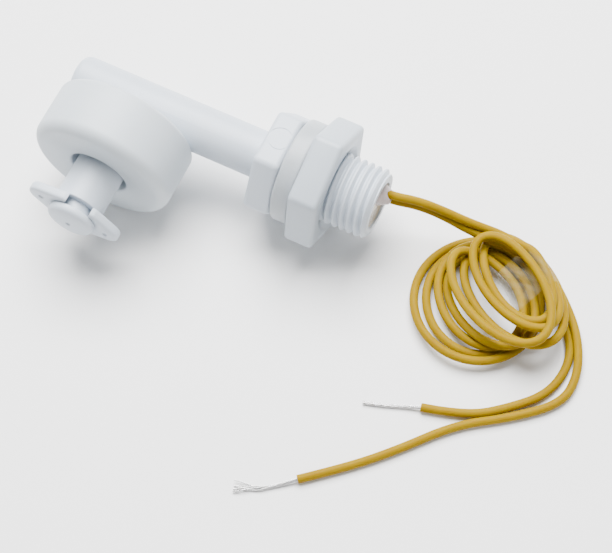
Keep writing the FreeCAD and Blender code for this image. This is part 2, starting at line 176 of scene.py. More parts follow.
class StageSizes(bpy.types.PropertyGroup):
    floor_size: length("Floor size", "Side of the square floor", 3.0)
    key_power: FloatProperty(name="Key light", description="Power of the large soft light", default=20,
                             unit="POWER")
    fill_power: FloatProperty(name="Fill light", description="Power of the side light", default=1.0,
                              unit="POWER")
    sky: FloatProperty(name="Surround", description="Strength of the white surround", default=0.35)
    lens: FloatProperty(name="Lens", description="Focal length on a 36 mm frame", default=100.01)


# Modelling helpers

def deselect():
    if bpy.context.object and bpy.context.object.mode != "OBJECT":
        bpy.ops.object.mode_set(mode="OBJECT")
    bpy.ops.object.select_all(action="DESELECT")


def take(piece):
    deselect()
    piece.select_set(True)
    bpy.context.view_layer.objects.active = piece


def edit(piece):
    take(piece)
    bpy.ops.object.mode_set(mode="EDIT")
    bpy.ops.mesh.select_all(action="SELECT")


def mend(piece):
    """Merges doubles and turns the faces outwards."""
    edit(piece)
    bpy.ops.mesh.remove_doubles(threshold=1e-6)
    bpy.ops.mesh.normals_make_consistent(inside=False)
    bpy.ops.object.mode_set(mode="OBJECT")


def modify(piece, kind, **settings):
    """Adds a modifier, sets it and applies it."""
    take(piece)
    modifier = piece.modifiers.new(kind.title(), kind)
    for key, value in settings.items():
        setattr(modifier, key, value)
    bpy.ops.object.modifier_apply(modifier=modifier.name)


def combine(piece, other, operation="UNION"):
    modify(piece, "BOOLEAN", object=other, operation=operation, solver="EXACT")
    bpy.data.objects.remove(other)
    return piece


def drawn_line(name, points, closed=False):
    """An outline drawn from point to point by extruding one corner."""
    deselect()
    bpy.ops.mesh.primitive_plane_add(size=MM, location=points[0])
    piece = bpy.context.active_object
    piece.name = name
    bpy.ops.object.transform_apply(location=True, rotation=True, scale=True)
    bpy.ops.object.mode_set(mode="EDIT")
    bpy.ops.mesh.select_all(action="SELECT")
    bpy.ops.mesh.merge(type="CENTER")
    route = list(points) + ([points[0]] if closed else [])
    for before, after in zip(route, route[1:]):
        bpy.ops.mesh.extrude_region_move(TRANSFORM_OT_translate={"value": after - before})
    if closed:
        bpy.ops.mesh.select_all(action="SELECT")
        bpy.ops.mesh.remove_doubles(threshold=1e-7)
    bpy.ops.object.mode_set(mode="OBJECT")
    return piece


def turned(name, outline, centre, along, closed=False, sides=96):
    """Turns an outline of (distance, radius) pairs about an axis."""
    out = Z if abs(along.z) < 0.5 else X
    corners = [centre + along * d + out * r for d, r in outline]
    piece = drawn_line(name, corners, closed)
    edit(piece)
    bpy.ops.mesh.spin(steps=sides, angle=2 * math.pi, center=centre, axis=along)
    bpy.ops.object.mode_set(mode="OBJECT")
    mend(piece)
    return piece


def prism(name, corners, offset):
    """A flat outline filled and pulled out."""
    piece = drawn_line(name, corners, closed=True)
    edit(piece)
    bpy.ops.mesh.edge_face_add()
    bpy.ops.mesh.extrude_region_move(TRANSFORM_OT_translate={"value": offset})
    bpy.ops.object.mode_set(mode="OBJECT")
    mend(piece)
    return piece


def arc(d, r, radius, start, stop, steps=6):
    """Points of an arc about (d, r), with its angles in degrees."""
    turns = [math.radians(start + (stop - start) * k / steps) for k in range(steps + 1)]
    return [(d + radius * math.cos(a), r + radius * math.sin(a)) for a in turns]


def rod(name, diameter, start, stop, sides=64):
    along = (stop - start).normalized()
    reach = (stop - start).length
    outline = [(0, 0), (0, diameter / 2), (reach, diameter / 2), (reach, 0)]
    return turned(name, outline, start, along, sides=sides)


def hexagon(across_flats, x, turn):
    radius = across_flats / math.sqrt(3)
    turns = [turn + math.radians(60 * k) for k in range(6)]
    return [Vector((x, radius * math.cos(a), radius * math.sin(a))) for a in turns]


def round_over(piece, width, segments=3, angle=30):
    modify(piece, "BEVEL", width=width, segments=segments, limit_method="ANGLE",
           angle_limit=math.radians(angle), use_clamp_overlap=True)


def smooth(piece, angle=32):
    take(piece)
    bpy.ops.object.shade_smooth_by_angle(angle=math.radians(angle))


def finish_piece(piece, body, slot, material, *nodes):
    piece.data.materials.clear()
    piece.data.materials.append(material)
    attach(piece, body)
    if nodes:
        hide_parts(*nodes)
    return piece


# Finishes

def new_group(name, inputs, outputs):
    tree = bpy.data.node_groups.new(name, "ShaderNodeTree")
    for label, kind, value in inputs:
        socket = tree.interface.new_socket(name=label, in_out="INPUT", socket_type=kind)
        socket.default_value = value
    for label, kind in outputs:
        tree.interface.new_socket(name=label, in_out="OUTPUT", socket_type=kind)
    return tree, tree.nodes.new("NodeGroupInput"), tree.nodes.new("NodeGroupOutput")


def add(tree, kind, **settings):
    node = tree.nodes.new(kind)
    for key, value in settings.items():
        if hasattr(node, key):
            setattr(node, key, value)
        else:
            node.inputs[key.replace("_", " ")].default_value = value
    return node


def cloud(tree, source, scale, detail=2.0):
    node = add(tree, "ShaderNodeTexNoise")
    node.inputs["Detail"].default_value = detail
    if hasattr(scale, "is_linked"):
        tree.links.new(scale, node.inputs["Scale"])
    else:
        node.inputs["Scale"].default_value = scale
    tree.links.new(source, node.inputs["Vector"])
    return node.outputs["Fac"]


def remap(tree, value, low, high):
    node = tree.nodes.new("ShaderNodeMapRange")
    node.inputs["From Min"].default_value = 0.3
    node.inputs["From Max"].default_value = 0.7
    tree.links.new(value, node.inputs["Value"])
    for socket, source in (("To Min", low), ("To Max", high)):
        if hasattr(source, "is_linked"):
            tree.links.new(source, node.inputs[socket])
        else:
            node.inputs[socket].default_value = source
    return node.outputs["Result"]


def moulded_skin():
    """Fine skin of a moulded or extruded plastic: faint clouds, grain and uneven gloss."""
    tree, given, out = new_group("Moulded skin", [
        ("Base", "NodeSocketColor", (0.8, 0.8, 0.8, 1)),
        ("Shade", "NodeSocketColor", (0.7, 0.7, 0.7, 1)),
        ("Cloud scale", "NodeSocketFloat", 250.0),
        ("Grain scale", "NodeSocketFloat", 6000.0),
        ("Gloss low", "NodeSocketFloat", 0.4),
        ("Gloss high", "NodeSocketFloat", 0.5),
    ], [("Color", "NodeSocketColor"), ("Roughness", "NodeSocketFloat"), ("Height", "NodeSocketFloat")])
    place = tree.nodes.new("ShaderNodeTexCoord").outputs["Object"]
    slow = cloud(tree, place, given.outputs["Cloud scale"])
    fine = cloud(tree, place, given.outputs["Grain scale"], 3.0)
    mask = remap(tree, slow, 0.0, 1.0)
    mix = add(tree, "ShaderNodeMix", data_type="RGBA")
    tree.links.new(mask, mix.inputs["Factor"])
    tree.links.new(given.outputs["Base"], mix.inputs["A"])
    tree.links.new(given.outputs["Shade"], mix.inputs["B"])
    tree.links.new(mix.outputs["Result"], out.inputs["Color"])
    gloss = remap(tree, fine, given.outputs["Gloss low"], given.outputs["Gloss high"])
    tree.links.new(gloss, out.inputs["Roughness"])
    total = add(tree, "ShaderNodeMath", operation="ADD")
    tree.links.new(slow, total.inputs[0])
    tree.links.new(fine, total.inputs[1])
    tree.links.new(total.outputs[0], out.inputs["Height"])
    return tree


def shader_of(material):
    return next(n for n in material.node_tree.nodes if n.type == "BSDF_PRINCIPLED")


def plastic(name, skin, base, shade, gloss=(0.38, 0.48), scales=(250, 6000), bump=0.04, **settings):
    """A material of the moulded skin, with its constant values on the shader's own sockets."""
    material = bpy.data.materials.new(name)
    material.use_nodes = True
    tree = material.node_tree
    shader = shader_of(material)
    group = add(tree, "ShaderNodeGroup")
    group.node_tree = skin
    group.inputs["Base"].default_value = (*base, 1)
    group.inputs["Shade"].default_value = (*shade, 1)
    group.inputs["Cloud scale"].default_value = scales[0]
    group.inputs["Grain scale"].default_value = scales[1]
    group.inputs["Gloss low"].default_value = gloss[0]
    group.inputs["Gloss high"].default_value = gloss[1]
    relief = add(tree, "ShaderNodeBump")
    relief.inputs["Strength"].default_value = bump
    relief.inputs["Distance"].default_value = 0.1 * MM
    tree.links.new(group.outputs["Height"], relief.inputs["Height"])
    tree.links.new(relief.outputs["Normal"], shader.inputs["Normal"])
    tree.links.new(group.outputs["Color"], shader.inputs["Base Color"])
    tree.links.new(group.outputs["Roughness"], shader.inputs["Roughness"])
    for key, value in settings.items():
        shader.inputs[key.replace("_", " ").title().replace("Ior", "IOR")].default_value = value
    return material


def tinted(base, factor):
    return tuple(c * f for c, f in zip(base, factor if hasattr(factor, "__len__") else (factor,) * 3))


def make_finishes(colours):
    skin = moulded_skin()
    soft = {"subsurface_weight": 0.12, "subsurface_radius": (1, 0.9, 0.8), "subsurface_scale": 1.2 * MM}
    made = {}
    made["moulding"] = plastic("White polypropylene", skin, colours.moulding,
                               tinted(colours.moulding, (0.965, 0.975, 0.985)), (0.40, 0.50), **soft)
    made["float_white"] = plastic("Float polypropylene", skin, colours.float_white,
                                  tinted(colours.float_white, 0.965), (0.46, 0.56), (120, 5000), 0.06, **soft)
    made["nut_white"] = plastic("Nut plastic", skin, colours.nut_white,
                                tinted(colours.nut_white, 0.97), (0.36, 0.46), **soft)
    made["silicone"] = plastic("Milky silicone", skin, colours.silicone,
                               tinted(colours.silicone, (0.95, 0.96, 0.95)), (0.30, 0.42), (400, 3000), 0.05,
                               subsurface_weight=0.45,
                               subsurface_radius=(1, 0.95, 0.85), subsurface_scale=2.5 * MM, ior=1.41)
    made["insulation"] = plastic("Yellow insulation", skin, colours.insulation,
                                 tinted(colours.insulation, (0.93, 0.9, 0.8)), (0.42, 0.55), (300, 2500),
                                 0.06, subsurface_weight=0.6, subsurface_radius=(1, 0.5, 0.03),
                                 subsurface_scale=0.7 * MM, specular_ior_level=0.06)
    made["resin"] = plastic("Potting resin", skin, colours.resin, colours.resin_spot, (0.15, 0.35),
                            (420, 3000), 0.08, coat_weight=0.2, coat_roughness=0.1, subsurface_weight=0.2,
                            subsurface_radius=(1, 0.7, 0.5), subsurface_scale=0.8 * MM)
    made["glue"] = plastic("Glue", skin, colours.glue, tinted(colours.glue, (0.95, 0.88, 0.86)), (0.2, 0.35),
                           (600, 3000), 0.08, subsurface_weight=0.3, subsurface_radius=(1, 0.8, 0.7),
                           subsurface_scale=0.8 * MM)
    made["tin"] = plastic("Tinned copper", skin, colours.tin, tinted(colours.tin, (0.8, 0.78, 0.75)),
                          (0.22, 0.42), (1500, 9000), 0.12, metallic=1.0)
    made["solder"] = plastic("Solder", skin, (0.5, 0.5, 0.52), (0.38, 0.38, 0.4), (0.3, 0.5), (900, 5000),
                             0.15, metallic=1.0)
    made["reed_metal"] = plastic("Reed blade metal", skin, (0.58, 0.56, 0.53), (0.5, 0.48, 0.45), (0.2, 0.34),
                                 (600, 8000), 0.05, metallic=1.0)
    made["ferrite"] = plastic("Ferrite", skin, (0.035, 0.035, 0.038), (0.06, 0.06, 0.062), (0.55, 0.75),
                              (900, 4000), 0.3)
    made["sleeve"] = plastic("Heat-shrink sleeve", skin, (0.02, 0.02, 0.022), (0.03, 0.03, 0.03), (0.35, 0.5),
                             (500, 3000), 0.1)
    made["glass"] = plastic("Reed glass", skin, (0.80, 0.93, 0.86), (0.76, 0.90, 0.82), (0.02, 0.06),
                            (300, 900), 0.02, transmission_weight=1.0, ior=1.5)
    made["tape"] = tape_film(skin)
    return made


def tape_film(skin):
    """Clear tape: mostly see-through, hazy in lines that run along the leads; the lighter film in those lines
    also gives painted highlights over the yellow strands.
    """
    material = plastic("Clear tape", skin, (0.42, 0.39, 0.28), (0.58, 0.55, 0.44), (0.14, 0.28),
                       (700, 2500), 0.3, ior=1.45)
    tree = material.node_tree
    place = tree.nodes.new("ShaderNodeTexCoord").outputs["Object"]
    turn = add(tree, "ShaderNodeMapping")
    turn.inputs["Rotation"].default_value = (0, 0, math.pi / 2 - TIE_TURN)
    turn.inputs["Scale"].default_value = (90, 900, 700)
    tree.links.new(place, turn.inputs["Vector"])
    # More opaque lines of film along the leads: real haze, and painted highlights where the lighter film
    # shows over the yellow strands
    haze_and_painted_highlight_lines = cloud(tree, turn.outputs["Vector"], 1.0, 2.0)
    tree.links.new(remap(tree, haze_and_painted_highlight_lines, 0.01, 0.09), shader_of(material).inputs["Alpha"])
    return material


# Body moulding

def moulded_thread(sizes):
    """Helical ridge on the bush, trimmed by the bush's own outline."""
    top = sizes.bush_d / 2
    root = top - sizes.thread_depth
    half = sizes.thread_pitch / 2
    start = 0.8 * MM
    ridge = drawn_line("thread_ridge", [Vector((start + d * half, 0, r)) for d, r in (
        (-0.62, root - 0.35 * MM), (-0.84, root + 0.02 * MM), (-0.72, root + 0.14 * sizes.thread_depth),
        (-0.34, top - 0.16 * sizes.thread_depth), (-0.20, top - 0.03 * sizes.thread_depth), (0, top),
        (0.20, top - 0.03 * sizes.thread_depth), (0.34, top - 0.16 * sizes.thread_depth),
        (0.72, root + 0.14 * sizes.thread_depth), (0.84, root + 0.02 * MM), (0.62, root - 0.35 * MM),
    )], closed=True)
    turns = math.ceil((BUSH_END_X - start) / sizes.thread_pitch) + 1
    modify(ridge, "SCREW", axis="X", angle=2 * math.pi, screw_offset=sizes.thread_pitch, iterations=turns,
           steps=64, render_steps=64, use_merge_vertices=False, use_smooth_shade=False)
    edit(ridge)
    bpy.ops.mesh.remove_doubles(threshold=1e-6)
    bpy.ops.mesh.fill_holes(sides=0)
    bpy.ops.mesh.normals_make_consistent(inside=False)
    bpy.ops.object.mode_set(mode="OBJECT")
    core = turned("thread_core", [(-4 * MM, 0), (-4 * MM, root), (BUSH_END_X + 3 * MM, root),
                                  (BUSH_END_X + 3 * MM, 0)], Vector(), X)
    combine(core, ridge)
    trim = turned("thread_trim", [
        (-3 * MM, 0), (-3 * MM, top + 0.1 * MM), (BUSH_END_X - sizes.bush_chamfer * 1.4, top + 0.1 * MM),
        (BUSH_END_X - 0.12 * MM, top - sizes.bush_chamfer),
        (BUSH_END_X, top - sizes.bush_chamfer - 0.12 * MM), (BUSH_END_X, 0),
    ], Vector(), X)
    return combine(core, trim, "INTERSECT")


def moulded_flange(sizes):
    thick = sizes.flange_thickness
    flange = prism("flange", hexagon(sizes.flange_flats, -thick, 0), X * thick)
    round_over(flange, sizes.flange_edge, 4)
    mark = sizes.mark_d / 2
    flat = sizes.flange_flats / 2
    ring = turned("flange_mark", [
        (-0.10 * MM, mark - 0.12 * MM), (-0.10 * MM, mark + 0.12 * MM), (0.3 * MM, mark + 0.16 * MM),
        (0.3 * MM, mark - 0.16 * MM),
    ], Vector((-thick / 2 + 0.2 * MM, 0.2 * MM, flat)), Z, closed=True, sides=48)
    return combine(flange, ring, "DIFFERENCE")


class BuildSwitchBody(bpy.types.Operator):
    """Models the L-shaped moulding: arm, stem with its clip groove, hex flange and threaded bush"""
    bl_idname = "levelswitch.body"
    bl_label = "Body moulding"

    def execute(self, context):
        sizes = context.scene.switch_body
        r, e = sizes.arm_d / 2, sizes.arm_end_round
        body = turned("switch_moulding", [
            (ARM_END_X, 0), *arc(ARM_END_X + e, r - e, e, 180, 90), (-1 * MM, r), (-1 * MM, 0),
        ], Vector(), X)
        r, e = sizes.stem_d / 2, sizes.tip_round
        groove = sizes.groove_d / 2
        lower = sizes.groove_start + sizes.groove_width
        soft = 0.15 * MM
        stem = turned("stem", [
            (0, 0), (0, r), (sizes.groove_start - soft, r), (sizes.groove_start, r - soft),
            (sizes.groove_start, groove), (lower, groove), (lower, r - soft), (lower + soft, r),
            *arc(-TIP_Y - sizes.tip_dome - e, r - e, e, 90, 20),
            (-TIP_Y - 0.45 * sizes.tip_dome, 0.6 * (r - e)), (-TIP_Y - 0.1 * sizes.tip_dome, 0.3 * (r - e)),
            (-TIP_Y, 0),
        ], Vector((STEM_X, 0, 0)), -Y)
        combine(body, stem)
        combine(body, moulded_flange(sizes))
        combine(body, moulded_thread(sizes))
        dimple = turned("tip_mark", [
            (-0.3 * MM, 0), (-0.28 * MM, 0.25 * MM), (-0.12 * MM, 0.5 * MM), (0.3 * MM, 0.75 * MM),
            (0.3 * MM, 0),
        ], Vector((STEM_X, TIP_Y, 0)), -Y, sides=32)
        combine(body, dimple, "DIFFERENCE")
        combine(body, rod("bush_core", sizes.bush_bore_d, Vector((-1 * MM, 0, 0)),
                          Vector((BUSH_END_X + 1 * MM, 0, 0))), "DIFFERENCE")
        combine(body, rod("arm_core", sizes.arm_bore_d, Vector((STEM_X - sizes.arm_bore_d / 2, 0, 0)),
                          Vector((0, 0, 0))), "DIFFERENCE")
        combine(body, rod("stem_core", sizes.stem_bore_d, Vector((STEM_X, 0, 0)),
                          Vector((STEM_X, -sizes.stem_bore_depth, 0))), "DIFFERENCE")
        mend(body)
        smooth(body, 28)
        finish_piece(body, "switch_body", "polypropylene", FINISH["moulding"], "body_moulding")
        return {"FINISHED"}


class BuildFloat(bpy.types.Operator):
    """Models the float's shell and the ring-shaped cap welded into it"""
    bl_idname = "levelswitch.float"
    bl_label = "Float"

    def execute(self, context):
        sizes = context.scene.switch_float
        r0, r3 = sizes.bore_d / 2, sizes.outside_d / 2
        r1, r2 = r0 + sizes.wall, r3 - sizes.wall
        reach = FLOAT_HIGH_Y - FLOAT_LOW_Y
        rim, nose, mouth = sizes.rim_round, sizes.face_round, sizes.mouth_round
        cap = sizes.cap_thickness
        centre = Vector((STEM_X, FLOAT_HIGH_Y, 0))
        bottom = reach - sizes.wall
        shell = turned("float_body", [
            *arc(mouth, r0 + mouth, mouth, 270, 180), (0, r1), (cap, r1), (bottom, r1), (bottom, r2),
            (cap, r2), (0, r2),
            *arc(rim, r3 - rim, rim, 180, 90), *arc(reach - nose, r3 - nose, nose, 90, 0, 10),
            *arc(reach - mouth, r0 + mouth, mouth, 0, -90),
        ], centre, -Y, closed=True, sides=128)
        smooth(shell)
        finish_piece(shell, "float", "float_plastic", FINISH["float_white"], "float_shell")
        weld = 0.12 * MM
        gap = 0.03 * MM
        lid = turned("float_lid", [
            (weld, r1 + gap), (cap, r1 + gap), (cap, r2 - gap), (weld, r2 - gap), (0, r2 - gap - weld),
            (0, r1 + gap + weld),
        ], centre, -Y, closed=True, sides=128)
        smooth(lid)
        finish_piece(lid, "float", "float_plastic", FINISH["float_white"], "float_cap")
        return {"FINISHED"}


CLIP_CORNERS = 144
CLIP_OPENING = 9 * MM


def lobe_radius(sizes, away):
    """Distance from the stem's axis to a lobe's outline, at an angle from the lobe's middle."""
    far = sizes.reach - sizes.lobe_end_r
    side = math.acos((sizes.hub_r - sizes.lobe_end_r) / far)
    touch = math.atan2(sizes.lobe_end_r * math.sin(side), far + sizes.lobe_end_r * math.cos(side))
    if away < touch:
        return far * math.cos(away) + math.sqrt(max(sizes.lobe_end_r ** 2 - (far * math.sin(away)) ** 2, 0))
    return sizes.hub_r / math.cos(side - away) if away < side else sizes.hub_r


class BuildClip(bpy.types.Operator):
    """Models the three-lobed clip that keeps the float on the stem"""
    bl_idname = "levelswitch.clip"
    bl_label = "Retaining clip"

    def execute(self, context):
        sizes = context.scene.switch_clip
        low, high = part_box("retaining_clip")
        thick = high[1] - low[1]
        lobes = [sizes.turn, sizes.turn + math.pi, sizes.turn - math.pi / 2]
        up = Vector((math.cos(sizes.turn + math.pi / 2), 0, math.sin(sizes.turn + math.pi / 2)))
        across = Vector((math.cos(sizes.turn), 0, math.sin(sizes.turn)))
        axis = Vector((STEM_X, low[1], 0))
        corners = []
        for k in range(CLIP_CORNERS):
            a = 2 * math.pi * k / CLIP_CORNERS
            ray = Vector((math.cos(a), 0, math.sin(a)))
            radius = max(lobe_radius(sizes, abs(math.remainder(a - lobe, 2 * math.pi))) for lobe in lobes)
            spot = ray * radius
            corners.append(axis + spot - up * max(spot.dot(up) - sizes.shoulder, 0))
        clip = prism("stem_clip", corners, Y * thick)
        round_over(clip, sizes.edge, 4, 45)
        half = sizes.mouth / 2
        slot = [axis - Y * MM + across * x + up * z for x, z in (
            (-half, 0), (half, 0), (half, CLIP_OPENING), (-half, CLIP_OPENING))]
        combine(clip, prism("clip_mouth", slot, Y * (thick + 2 * MM)), "DIFFERENCE")
        seat = context.scene.switch_body.groove_d + 0.1 * MM
        combine(clip, rod("clip_seat", seat, axis - Y * MM, axis + Y * (thick + MM)), "DIFFERENCE")
        for lobe in lobes:
            spot = axis + Vector((math.cos(lobe), 0, math.sin(lobe))) * sizes.dimple_at
            dimple = turned("clip_dimple", [
                (-0.35 * MM, 0), (-0.3 * MM, 0.25 * MM), (-0.1 * MM, 0.55 * MM), (0.3 * MM, 0.8 * MM),
                (0.3 * MM, 0),
            ], spot, -Y, sides=32)
            combine(clip, dimple, "DIFFERENCE")
        mend(clip)
        smooth(clip, 40)
        finish_piece(clip, "switch_body", "polypropylene", FINISH["moulding"], "retaining_clip")
        return {"FINISHED"}


class BuildSeal(bpy.types.Operator):
    """Models the silicone gasket and the hexagonal lock nut"""
    bl_idname = "levelswitch.seal"
    bl_label = "Gasket and nut"

    def execute(self, context):
        sizes = context.scene.switch_seal
        low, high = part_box("gasket")
        face = high[0] - sizes.nut_swell
        r = sizes.gasket_d / 2
        bore = context.scene.switch_body.bush_d / 2 + 0.08 * MM
        e = sizes.gasket_round
        ring = turned("seal_ring", [
            (low[0], bore), (face, bore), *arc(face - e, r - e, e, 0, 90),
            *arc(low[0] + e, r - e, e, 90, 180),
        ], Vector(), X, closed=True)
        smooth(ring)
        finish_piece(ring, "gasket", "silicone", FINISH["silicone"], "gasket")
        back, front = NUT_FROM - sizes.nut_swell, NUT_TO + sizes.nut_swell
        nut = prism("nut_body", hexagon(sizes.nut_flats, back, sizes.nut_turn), X * (front - back))
        round_over(nut, sizes.nut_edge, 4)
        bore = context.scene.switch_body.bush_d / 2 + 0.06 * MM
        recess = sizes.nut_recess_d / 2
        hole = turned("nut_hole", [
            (back - 1 * MM, 0), (back - 1 * MM, bore + 0.4 * MM), (back, bore + 0.4 * MM),
            (back + 0.4 * MM, bore), (front - sizes.nut_recess_depth - 0.2 * MM, bore),
            (front - sizes.nut_recess_depth, bore + 0.2 * MM), (front - 0.1 * MM, recess - 0.1 * MM),
            (front, recess + 0.1 * MM), (front + 1 * MM, recess + 0.2 * MM), (front + 1 * MM, 0),
        ], Vector(), X)
        combine(nut, hole, "DIFFERENCE")
        mend(nut)
        smooth(nut)
        finish_piece(nut, "nut", "nut_plastic", FINISH["nut_white"], "lock_nut")
        return {"FINISHED"}


# Leads

# The values of the leads' routes are in millimetres. Where each lead leaves the resin, as y and z
LEAD_START = {"a": (2.3, 1.1), "b": (2.2, -0.54)}
# Where the leads start in the resin, and how far they run straight, along x
RESIN_X, STRAIGHT_X = 15.0, 19.4
# Points of the pair, of each lead next to the coil, of its free end and of its bare end: x, y and height
# above the surface that the switch rests on
LEAD_ROUTE = [(24.6, 3.9, 11.4), (29.5, 4.8, 9.5), (34.5, 5.2, 7.6), (39.6, 5.9, 6.0)]
# How far lead a lies from each point of the pair, sideways and up; lead b lies as far the other way
LEAD_TWIST = [(0.05, 0.82), (0.10, 0.82), (0.38, 0.76), (0.84, 0.30)]
LEAD_IN = {
    "a": [(41.4, 6.7, 6.1), (44.9, 6.2, 6.6)],
    "b": [(41.1, 5.2, 5.7), (44.5, 5.05, 5.3)],
}
TAIL_ROUTE = {
    "a": [(50.7, 3.6, 1.3), (55.2, -0.6, 0.9), (60.15, -4.7, 0.82), (62.3, -10.5, 0.9),
          (60.9, -17.3, 0.9), (55.7, -22.8, 1.4), (49.1, -27.6, 1.0), (40.8, -29.5, 0.9)],
    "b": [(51.9, 5.3, 1.05), (56.8, 0.9, 1.5), (61.6, -4.7, 1.75), (64.5, -11.4, 1.2),
          (64.0, -17.9, 0.9), (56.7, -24.3, 0.9), (47.9, -30.0, 0.9), (40.3, -38.9, 0.9),
          (33.5, -45.7, 0.9), (26.25, -51.65, 0.9)],
}
BARE_ROUTE = {
    "a": [(37.9, -30.5, 0.5), (34.4, -31.9, 0.5), (30.6, -33.0, 0.5)],
    "b": [(24.0, -53.6, 0.5), (20.6, -56.2, 0.5), (16.2, -57.6, 0.5)],
}
# The coil: where the tape ties it, and for each lead its place across the tie before and after each
# turn, then each turn's half length, half width and lean, and heights at eighths of a turn
TIE = Vector((48.2, 6.1))
TIE_TURN = math.radians(62)
TIE_OUT = Vector((math.cos(TIE_TURN), math.sin(TIE_TURN)))
TIE_ALONG = Vector((math.sin(TIE_TURN), -math.cos(TIE_TURN)))
CROSSINGS = {
    "a": [-0.93, 0.93, -4.21, -4.55, -1.5],
    "b": [-0.06, -2.89, -6.33, -1.87, 0.26],
}
TURNS = {
    "a": [(9.88, 5.85, 3.6), (11.52, 6.92, 7.51), (10.61, 7.44, 2.88), (10.84, 10.19, -0.52)],
    "b": [(10.67, 5.87, 5.23), (11.97, 6.58, 5.37), (10.54, 8.35, -0.31), (12.63, 12.59, -0.43)],
}
HEIGHTS = {
    "a": [8.21, 7.38, 7.29, 6.98, 6.21, 5.97, 4.22, 2.81, 2.29, 3.79, 5.28, 6.01, 4.93, 3.77, 2.53, 2.54,
          3.51, 3.9, 3.9, 4.01, 3.55, 2.26, 1.04, 0.82, 1.0, 0.91, 0.82, 0.82, 1.06, 1.61, 1.06, 0.82, 0.82],
    "b": [3.61, 5.74, 6.9, 7.74, 7.49, 7.07, 7.61, 8.12, 8.43, 8.86, 8.92, 8.37, 7.39, 6.16, 5.44, 3.81,
          3.5, 3.7, 2.68, 2.37, 2.64, 2.52, 2.57, 2.4, 2.46, 2.0, 2.07, 2.42, 2.47, 1.85, 0.9, 0.82, 0.82],
}
EIGHTHS = 8
# The film: where it starts along the tied passes, how far inwards passes count, which pass lies above it
TAPE_START, TAPE_REACH, TOP_PASS = -1.5, -11.0, 1
TAPE_EASE, TAPE_SLACK, TAPE_LOWEST = 0.1, 1.3, 0.06
TAPE_SIDES, TAPE_STEPS = 48, 8
# The splayed strands: the share of their length where they part, and how far they spread
SPLAY_FROM, SPLAY_WIDTH = 0.35, 1.7


def point(x, y, above):
    """A point in metres from x, y and height above the surface in millimetres."""
    return Vector((x * MM, y * MM, surface(x * MM, above * MM)))


def height_at(heights, share):
    """Smooth height between the stations of a lead's turns."""
    spot = share * EIGHTHS
    k = min(int(spot), len(heights) - 2)
    t = spot - k
    h0, h3 = heights[max(k - 1, 0)], heights[min(k + 2, len(heights) - 1)]
    h1, h2 = heights[k], heights[k + 1]
    return h1 + 0.5 * t * (h2 - h0 + t * (2 * h0 - 5 * h1 + 4 * h2 - h3 + t * (3 * (h1 - h2) + h3 - h0)))


def coil_points(side, per_turn):
    """Control points of one lead's turns, worked out turn by turn."""
    points = []
    for k, (half_length, half_width, lean) in enumerate(TURNS[side]):
        for step in range(per_turn):
            share = step / per_turn
            a = 2 * math.pi * share
            drift = share - math.sin(a) / (2 * math.pi)
            out = CROSSINGS[side][k] * (1 - drift) + CROSSINGS[side][k + 1] * drift
            out -= half_width * (1 - math.cos(a))
            along = half_length * math.sin(a) + lean * (1 - math.cos(a)) / 2
            spot = TIE + TIE_OUT * out + TIE_ALONG * along
            points.append(point(spot.x, spot.y, height_at(HEIGHTS[side], k + share)))
    spot = TIE + TIE_OUT * CROSSINGS[side][-1]
    points.append(point(spot.x, spot.y, HEIGHTS[side][-1]))
    return points


def lead_points(side, per_turn):
    way = 1 if side == "a" else -1
    y, z = LEAD_START[side]
    points = [Vector((x * MM, y * MM, z * MM)) for x in (RESIN_X, STRAIGHT_X)]
    for (px, py, above), (beside, over) in zip(LEAD_ROUTE, LEAD_TWIST):
        points.append(point(px, py + way * beside, above + way * over))
    points += [point(*p) for p in LEAD_IN[side]]
    return points + coil_points(side, per_turn) + [point(*p) for p in TAIL_ROUTE[side]]


def cord_curve(name, points, diameter):
    """A round cord on a smooth curve whose control points are given."""
    data = bpy.data.curves.new(name, "CURVE")
    data.dimensions = "3D"
    spline = data.splines.new("NURBS")
    spline.points.add(len(points) - 1)
    for spot, place in zip(spline.points, points):
        spot.co = (*place, 1)
    spline.order_u = 3
    spline.use_endpoint_u = True
    spline.resolution_u = 6
    data.bevel_depth = diameter / 2
    data.bevel_resolution = 6
    data.use_fill_caps = True
    cord = bpy.data.objects.new(name, data)
    bpy.context.scene.collection.objects.link(cord)
    return cord


def route_line(points):
    """Points along the smooth curve of a route."""
    probe = cord_curve("route_probe", points, 0)
    line = bpy.data.meshes.new_from_object(probe)
    spots = [v.co.copy() for v in line.vertices]
    bpy.data.objects.remove(probe)
    bpy.data.meshes.remove(line)
    return spots


def measured(points):
    line = route_line(points)
    return sum((b - a).length for a, b in zip(line, line[1:]))


class BuildLeads(bpy.types.Operator):
    """Lays the two yellow leads from the potting through the coil to their bare ends"""
    bl_idname = "levelswitch.leads"
    bl_label = "Leads"

    def execute(self, context):
        sizes = context.scene.switch_leads
        routes = {side: lead_points(side, sizes.turn_points) for side in ("a", "b")}
        lines = [route_line(points) for points in routes.values()]
        for side, points in routes.items():
            bare = make_strands(side, sizes)
            wire = cord_curve(f"yellow_lead_{side}", points, sizes.lead_d)
            if side == "a":
                make_tape(sizes, lines)
            finish_piece(wire, "switch_body", "lead_yellow", FINISH["insulation"],
                         f"lead_{side}", f"lead_tail_{side}", "lead_coil")
            measured(points)
            print("lead", side, round(measured(points) / MM, 1), "mm")
        return {"FINISHED"}


